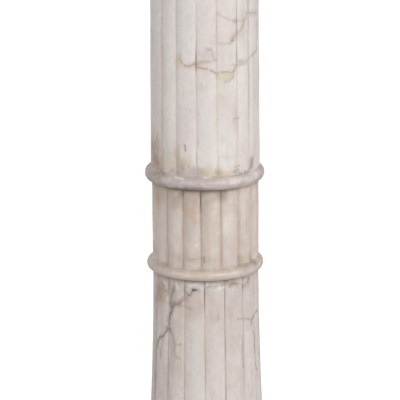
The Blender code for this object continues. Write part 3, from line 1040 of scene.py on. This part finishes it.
LOWER_SHAFT_LOOK = {
    "tones": (PEARL, STRAW, HEATHER),
    # Grime in the grooves: partly dirt, partly painted shade.
    "grime_and_nook_shade": [(SAND, 3.4, 0.35), (TAUPE, 1.6, 0.4)],
    "mottle": 0.3,
    # Painted shadow and soot under the lower ring.
    "soot_and_ring_shadow": 0.26,
    "groove_dirt_and_painted_light": [
        (VEIN_SLATE, 0.65, (204.5, 294), 22, 1.5),
        (VEIN_SLATE, 0.4, (225.0, 298), 36, 1.4),
        (VEIN_SLATE, 0.45, (225.3, 344), 16, 1.5),
        (VEIN_SLATE, 0.4, (225.6, 395), 12, 1.5),
        (GRIME_AND_SHADE, 0.6, (185.0, 291), 8, 2.4),
        # A pale stretch in this groove: painted light that lifts its shade.
        (PEARL, 0.35, (184.6, 326), 26, 2.4),
        (GRIME_AND_SHADE, 0.6, (169.6, 288), 12, 2.6),
        (RUST, 0.2, (204.6, 330), 40, 3.0),
        (GRIME_AND_SHADE, 0.2, (205.0, 370), 40, 1.2),
        (UMBER, 0.85, (156.0, 372), 52, 6.0),
        (VEIN_SLATE, 0.55, (156.0, 372), 52, 3.6),
        (UMBER, 0.9, (157.4, 304), 34, 6.0),
        (VEIN_SLATE, 0.65, (157.4, 304), 34, 3.8),
        (UMBER, 0.35, (168.5, 370), 34, 2.4),
        (TAUPE, 0.3, (243.5, 330), 50, 2.2),
        (VEIN_SLATE, 0.3, (242.0, 287), 10, 2.6),
        (RUST, 0.5, (253.4, 291), 9, 5.0),
    ],
    "patches": [
        (TAUPE, 0.45, (160, 292), (9, 22)),
        (UMBER, 0.6, (159, 291), (9, 14)),
        (RUST, 0.6, (161, 296), (9, 12)),
        (TAUPE, 0.60, (174, 294), (6, 16)),
        (COOL, 0.6, (206, 286), (32, 6)),
        # These two pale spots at the shaft's top: painted glints.
        (CHALK, 0.1, (198, 286), (9, 2.5)),
        (CHALK, 0.25, (218, 288), (9, 3)),
        (TAUPE, 0.5, (180, 289), (5, 8)),
        (TAUPE, 0.25, (196, 308), (12, 14)),
        (TAUPE, 0.2, (212, 303), (6, 20)),
        (SAND, 0.4, (191, 390), (5, 13)),
        (TAUPE, 0.55, (198, 306), (8, 18)),
        (TAUPE, 0.40, (180, 316), (5, 16)),
        (GRIME_AND_SHADE, 0.55, (170, 304), (5, 5)),
        (PEARL, 0.8, (161, 374), (5, 22)),
        (TAUPE, 0.4, (231, 314), (5, 8)),
        (MAUVE, 0.5, (249, 325), (5, 8)),
        (GRIME_AND_SHADE, 0.8, (168.2, 328.6), (3.4, 2.2)),
        (TAUPE, 0.8, (179.5, 288.5), (4, 6)),
        (UMBER, 0.45, (223.4, 286), (4, 6)),
        (GRIME_AND_SHADE, 0.6, (227.4, 281.6), (3, 4)),
        (GRIME_AND_SHADE, 0.5, (243.6, 277.8), (4, 3.5)),
        (TAUPE, 0.6, (203, 284), (4, 3)),
        (MAUVE, 0.6, (239.5, 284), (4, 9)),
        (UMBER, 0.5, (167.4, 292), (4, 7)),
        (TAUPE, 0.3, (207.5, 293), (4, 6)),
        (TAUPE, 0.4, (154, 296), (14, 14)),
        (TAUPE, 0.3, (180, 366), (4, 18)),
        (TAUPE, 0.30, (211, 316), (8, 8)),
        (HEATHER, 0.4, (188, 284), (7, 5)),
        (BLUSH, 0.7, (194, 300), (10, 8)),
        (OAT, 0.6, (188, 312), (14, 12)),
        (RUST, 0.40, (190, 316), (9, 6)),
        (TAUPE, 0.30, (186, 302), (14, 12)),
        (HEATHER, 0.6, (180, 290), (5, 10)),
        (MAUVE, 0.5, (218, 308), (8, 14)),
        (MAUVE, 0.5, (234, 304), (9, 14)),
        (LILAC, 0.5, (249, 344), (7, 26)),
        (OLIVE, 0.3, (212, 304), (7, 9)),
        (MAUVE, 0.6, (162, 322), (5, 14)),
        (TAUPE, 0.50, (154, 360), (4, 60)),
        (TAUPE, 0.45, (172, 350), (7, 40)),
        (BLUSH, 0.5, (166, 380), (5, 30)),
        (OAT, 0.4, (180, 356), (10, 40)),
        (PALE_GREY, 0.6, (197, 356), (9, 60)),
        (HEATHER, 0.5, (250, 300), (8, 20)),
        (PEARL, 0.6, (216, 366), (9, 26)),
    ],
    "crumbs": [
        # The first three crumbs, pale: painted glints.
        (CHALK, 0.3, (180, 287), (5, 4)),
        (CHALK, 0.35, (203, 287.5), (10, 4)),
        (CHALK, 0.25, (220, 289), (14, 4)),
        (UMBER, 0.6, (163, 287), (6, 8)),
        (TAUPE, 0.6, (184, 290), (8, 6)),
        (TAUPE, 0.5, (248, 285), (8, 6)),
    ],
    "veins": [
        ((TAUPE, 0.64), (VEIN_SLATE, 0.60), [
            (1.6, [(172.6, 305), (171.5, 310.7), (169.4, 316.5), (168.6, 321.5), (168.2, 328.9)]),
            (1.3, [
                (168.2, 328.9), (165.7, 331.4), (163.2, 335.6),
                (159.9, 337.2), (157.8, 341.4), (156.8, 345.5),
            ]),
            (0.8, [(186.4, 293.3), (188.1, 295.8), (190.6, 294.9), (193, 290)]),
            (1.8, [(167.4, 328.4), (169.2, 329.4)]),
        ]),
        ((UMBER, 0.5), (VEIN_SLATE, 0.38), [
            (1.2, [(174.4, 284), (173.2, 289), (171.4, 296.6), (170.6, 301.6), (171.8, 305)]),
            (1.2, [(167.6, 279), (168.6, 286), (168.8, 293), (170, 299), (171, 303)]),
            (1.3, [(173.2, 306.5), (175.7, 304), (179, 303.6), (182.3, 300.7), (185.2, 299.5)]),
            (0.9, [(194.7, 289.5), (198, 290.8)]),
            (0.8, [(257.3, 311), (255.5, 313.6), (253.4, 317), (251.8, 320.5), (251.4, 324)]),
            (0.8, [
                (254, 333), (255.3, 339.7), (254.8, 346.3), (255.7, 353), (256.5, 363), (257.7, 368.7),
            ]),
            (0.7, [(162, 283), (164, 286), (163, 289), (166, 291)]),
            (1.2, [(248.8, 279.6), (248.2, 281.6), (247.4, 283.4)]),
            (1.0, [(245.4, 285.4), (244.4, 287)]),
            (1.2, [(230.5, 284.6), (233.5, 283.4), (236.4, 284.2)]),
        ]),
        ((TAUPE, 0.2), (VEIN_SLATE, 0.85), [(1.6, [(193.4, 290.3), (195.6, 289.3)])]),
        ((TAUPE, 0.25), (TAUPE, 0.6), [
            (0.7, [(250.4, 319.2), (246, 318.8), (238, 319.4)]),
            (0.9, [(179.8, 304.9), (186.4, 307.4), (191.4, 309)]),
            (1.0, [(218, 315), (218.8, 320.6)]),
        ]),
        # Thin pale strokes at the shaft's top: painted glints, drawn like veins.
        ((CHALK, 0.35), (CHALK, 0.9), [
            (1.1, [(175.8, 283.2), (176.6, 285.4), (177.6, 287.8)]),
            (0.9, [(190, 285.6), (196, 284.6)]),
            (0.9, [(206.8, 283), (207, 286)]),
            (0.9, [(167.6, 280), (167.9, 289), (168, 298)]),
            (0.6, [(220, 288.6), (225, 287.6)]),
        ]),
        ((TAUPE, 0.4), (VEIN_SLATE, 0.26), [
            (0.8, [(168.6, 329.8), (172.3, 334.7), (173.2, 339.7), (175.7, 346.3)]),
            (0.8, [(175.7, 346.3), (174.4, 351.3), (175.7, 356.3), (179.8, 359.2)]),
            (0.7, [(175.7, 346.3), (180.6, 344.3)]),
            (0.7, [(162, 341), (161, 350), (160.3, 357)]),
            (0.6, [(242.8, 338), (243.2, 354.6), (243.7, 363), (243.7, 367)]),
            (0.8, [(213, 288.3), (216.3, 286.2)]),
            (0.7, [(207, 288), (211, 286.5)]),
        ]),
    ],
}

LOWER_RING_LOOK = {
    "tones": (HONEY, OAT, CREAM),
    "crust": (CREAM, OAT),
    # Grime by the ring's foot: partly dirt, partly painted shade under the ring.
    "grime_and_nook_shade": [(UMBER, 5.5, 0.7)],
    "roughness": 0.1,
    "gloss": 1.5,
    "lathe": 0.16,
    "patches": [
        (MAUVE, 0.8, (157, 262), (9, 9)),
        (UMBER, 0.45, (166, 265), (10, 4)),
        (UMBER, 0.85, (249, 262), (13, 5)),
        (UMBER, 0.75, (252.5, 262.5), (9, 5)),
        (GRIME_AND_SHADE, 0.6, (251, 263), (6, 5)),
        (TAUPE, 0.6, (241, 268), (14, 5)),
        (PLUM, 0.7, (160, 263.5), (14, 5)),
        (TAUPE, 0.4, (190, 262), (34, 4)),
        (TAUPE, 0.6, (173, 267), (12, 4)),
        (UMBER, 0.35, (247, 264.4), (12, 4)),
        (TAUPE, 0.4, (190, 272.5), (18, 2.5)),
        (UMBER, 0.25, (192, 279.5), (9, 2)),
        (UMBER, 0.3, (213, 279.5), (9, 2)),
        (UMBER, 0.12, (165, 275), (9, 2.5)),
        # These three darken the ring's upper face: partly dirt, partly painted shade where less light falls.
        (TAUPE, 0.35, (204, 270), (50, 4)),
        (TAUPE, 0.4, (202, 270), (5, 4)),
        (TAUPE, 0.4, (226, 272), (9, 3)),
        # A lighter band across the ring's front: painted sheen.
        (CREAM, 0.4, (212, 276), (26, 4)),
        (OCHRE, 0.45, (202, 277), (9, 5)),
        # A pale spot on the ring's front: painted highlight.
        (COOL, 0.6, (235, 274), (6, 4)),
        (RUST, 0.45, (259, 257), (5, 6)),
        (BLUSH, 0.6, (254, 266), (6, 7)),
        (CREAM, 0.5, (252, 267.5), (5, 4)),
        (CREAM, 0.45, (241, 272), (5, 4)),
        (CREAM, 0.45, (251, 272.5), (6, 4)),
        (TAUPE, 0.4, (183.5, 268), (4, 3)),
    ],
}

UPPER_RING_LOOK = {
    "tones": (DUSK, PLUM, MAUVE),
    "crust": (MAUVE, DUSK),
    # Grime by the ring's foot: partly dirt, partly painted shade under the ring.
    "grime_and_nook_shade": [(GRIME_AND_SHADE, 7.0, 0.75)],
    "roughness": 0.24,
    "gloss": 1.45,
    "lathe": 0.25,
    "patches": [
        (UMBER, 0.5, (162, 172.5), (13, 4.5)),
        (RUST, 0.4, (160, 169), (8, 5)),
        (PLUM, 0.5, (157, 179), (6, 5)),
        (UMBER, 0.25, (178, 175), (9, 2.5)),
        (PLUM, 0.5, (194, 176), (9, 2)),
        (OLIVE, 0.6, (208, 176.6), (9, 1.8)),
        (OCHRE, 0.6, (226, 176.4), (9, 1.8)),
        (OCHRE, 0.3, (213, 176.6), (5, 1.8)),
        (PALE_GREY, 0.4, (170, 180), (10, 4)),
        (ROSE, 0.6, (254, 171), (5, 5)),
        (LILAC, 0.25, (208, 183), (24, 5)),
        (MAUVE, 0.4, (213, 183), (6, 6)),
        (TAUPE, 0.5, (212, 179), (7, 3)),
        # These two darken the ring's underside: painted shade under the ring.
        (GRIME_AND_SHADE, 0.7, (187, 189.6), (22, 3)),
        (GRIME_AND_SHADE, 0.3, (204, 190), (14, 2.5)),
        (MAUVE, 0.4, (218, 186), (12, 2)),
        (MAUVE, 0.5, (222, 182.5), (6, 2)),
        # Pale on the ring's right side: painted highlight.
        (CHALK, 0.5, (250, 179.5), (7, 3)),
        (CHALK, 0.3, (183, 182.6), (5, 2)),
        # These two darken the ring's underside: painted shade under the ring.
        (GRIME_AND_SHADE, 0.35, (164, 185.4), (9, 3)),
        (GRIME_AND_SHADE, 0.4, (257, 181), (5, 4)),
        (TAUPE, 0.55, (239, 175), (12, 4)),
        # Pale on the ring's right side: painted highlight.
        (CHALK, 0.55, (236, 180), (14, 4.5)),
        (TAUPE, 0.4, (239, 175.6), (12, 3)),
        (TAUPE, 0.5, (176, 179.5), (7, 2.5)),
        # Pale on the ring's right side: painted highlight.
        (CHALK, 0.45, (256, 175), (8, 8)),
        (LILAC, 0.6, (260, 168), (9, 8)),
        (OLIVE, 0.35, (262, 170), (5, 6)),
    ],
    "crumbs": [
        (CHALK, 0.5, (240, 175), (18, 4)),
        (GRIME_AND_SHADE, 0.4, (238, 173), (18, 3)),
        (GRIME_AND_SHADE, 0.5, (160, 175), (12, 5)),
    ],
    "veins": [
        # Thin pale lines along the ring's top edge: painted glints, drawn like veins.
        ((CHALK, 0.15), (CHALK, 0.7), [
            (0.45, [(174, 176.6), (179, 177.8), (184, 178.8)]),
            (0.5, [(204, 177.5), (211, 177.8)]),
        ]),
    ],
}

# Grime in the inner corners of base and capital: partly dirt, partly painted shade.
BASE_LOOK = {"tones": (MILK, SAND, PALE_GREY), "grime_and_nook_shade": [(UMBER, 3.0, 0.45)], "web_from": (-1, 0)}
CAPITAL_LOOK = {"tones": (MILK, ROSE, PALE_GREY), "grime_and_nook_shade": [(UMBER, 3.0, 0.35)], "web_from": (-1, 0)}


# The studio. The room's light is its strength plus its slope times the direction that it comes from. A soft
# box is (name, place, what it points at, width, height, power, colour).
ROOM_STRENGTH = 0.57
ROOM_SLOPE = (0.0, -0.12, 0.17)
ROOM_COLOUR = (1.0, 0.99, 0.98, 1)
ROOM_RADIUS = 14
FLOOR_COLOUR = (0.6, 0.6, 0.6, 1)
FLOOR_GLOW = 0.65
DULL = 0.7
SOFT_BOXES = (
    ("key_light", (1.75, -2.4, 1.25), (0, 0, 0.6), 1.5, 1.4, 32.5, (1.0, 0.975, 0.95)),
    ("window", (2.45, -1.65, 0.95), (0, 0, 0.55), 0.4, 0.8, 5, (1.0, 0.99, 0.98)),
    ("fill_light", (-2.1, -2.1, 1.4), (0, 0, 0.65), 1.2, 1.6, 10.5, (1.0, 0.985, 0.97)),
)


def point_camera():
    """The camera at the photograph's place."""
    camera = bpy.data.cameras.new("camera")
    camera.lens = LENS
    camera.sensor_width = SENSOR
    holder = bpy.data.objects.new("camera", camera)
    bpy.context.scene.collection.objects.link(holder)
    turned = Matrix.Rotation(math.radians(CAMERA_YAW), 4, "Z")
    pitched = Matrix.Rotation(math.radians(90 - CAMERA_PITCH), 4, "X")
    rolled = Matrix.Rotation(math.radians(CAMERA_ROLL), 4, "Z")
    place = Matrix.Translation((0, -CAMERA_DISTANCE, CAMERA_HEIGHT))
    holder.matrix_world = place @ turned @ pitched @ rolled
    bpy.context.scene.camera = holder


def soft_box(name, place, aim, width, height, power, colour):
    """One soft box that points at its aim."""
    lamp = bpy.data.lights.new(name, "AREA")
    lamp.shape = "RECTANGLE"
    lamp.size = width
    lamp.size_y = height
    lamp.energy = power
    lamp.color = colour
    holder = bpy.data.objects.new(name, lamp)
    bpy.context.scene.collection.objects.link(holder)
    holder.location = place
    holder.rotation_euler = (Vector(aim) - Vector(place)).to_track_quat("-Z", "Y").to_euler()


def plain_material(name, colour, glow):
    """A dull material that glows white by itself."""
    made = bpy.data.materials.new(name)
    made.use_nodes = True
    shader = made.node_tree.nodes["Principled BSDF"]
    shader.inputs["Base Color"].default_value = colour
    shader.inputs["Roughness"].default_value = DULL
    shader.inputs["Emission Color"].default_value = (1, 1, 1, 1)
    shader.inputs["Emission Strength"].default_value = glow
    return made


def hide_from(thing, kinds):
    """Keeps some kinds of light rays from meeting a thing that the camera still sees."""
    for kind in kinds:
        setattr(thing, f"visible_{kind}", False)


def room_light():
    """Soft light from all round: most from above and from the front, less from below and from behind."""
    world = bpy.data.worlds.new("studio")
    world.use_nodes = True
    tree = world.node_tree
    background = tree.nodes["Background"]
    background.inputs["Color"].default_value = ROOM_COLOUR
    toward = tree.nodes.new("ShaderNodeTexCoord")
    strength = tree.nodes.new("ShaderNodeVectorMath")
    strength.operation = "DOT_PRODUCT"
    strength.inputs[1].default_value = ROOM_SLOPE
    total = tree.nodes.new("ShaderNodeMath")
    total.inputs[1].default_value = ROOM_STRENGTH
    tree.links.new(toward.outputs["Generated"], strength.inputs[0])
    tree.links.new(strength.outputs["Value"], total.inputs[0])
    tree.links.new(total.outputs[0], background.inputs["Strength"])
    return world


def build_studio():
    """A pale floor, a white backdrop all round, the room's light and the soft boxes."""
    bpy.ops.mesh.primitive_circle_add(vertices=96, radius=ROOM_RADIUS, fill_type="NGON")
    floor = bpy.context.object
    floor.name = "floor"
    floor.data.materials.append(plain_material("pale_floor", FLOOR_COLOUR, FLOOR_GLOW))
    bpy.ops.mesh.primitive_uv_sphere_add(segments=64, ring_count=32, radius=ROOM_RADIUS)
    sky = bpy.context.object
    sky.name = "backdrop"
    sky.data.materials.append(plain_material("white_backdrop", (0, 0, 0, 1), 1.0))
    hide_from(sky, ("diffuse", "glossy", "transmission", "volume_scatter", "shadow"))
    hide_from(floor, ("diffuse", "glossy"))
    bpy.context.scene.world = room_light()
    for box in SOFT_BOXES:
        soft_box(*box)
    bpy.context.scene.view_settings.view_transform = "Standard"


def build_column():
    """The nine pieces, each carved, turned or squared, and then given its stone."""
    drum_bead = ("drum", DRUM_BEAD)
    shaft_bead = ("upper_shaft", UPPER_SHAFT_BEAD)
    pieces = [
        (carve_shaft("lower_shaft", 11), LOWER_SHAFT_LOOK),
        (carve_shaft("drum", 31), DRUM_LOOK),
        (carve_shaft("upper_shaft", 51), UPPER_SHAFT_LOOK),
        (turn_piece("lower_ring", RING_WEAR, 71, LOWER_RING_SHIFT, drum_bead), LOWER_RING_LOOK),
        (turn_piece("upper_ring", RING_WEAR, 81, UPPER_RING_SHIFT, shaft_bead), UPPER_RING_LOOK),
        (turn_piece("base", TURNED_WEAR, 91), BASE_LOOK),
        (turn_piece("capital", TURNED_WEAR, 101), CAPITAL_LOOK),
        (square_slab("plinth", 111), BASE_LOOK),
        (square_slab("abacus", 121), CAPITAL_LOOK),
    ]
    for seed, (piece, look) in enumerate(pieces):
        stone_finish(piece, piece["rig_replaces"][0], look, 10 * seed)


point_camera()
build_studio()
build_column()
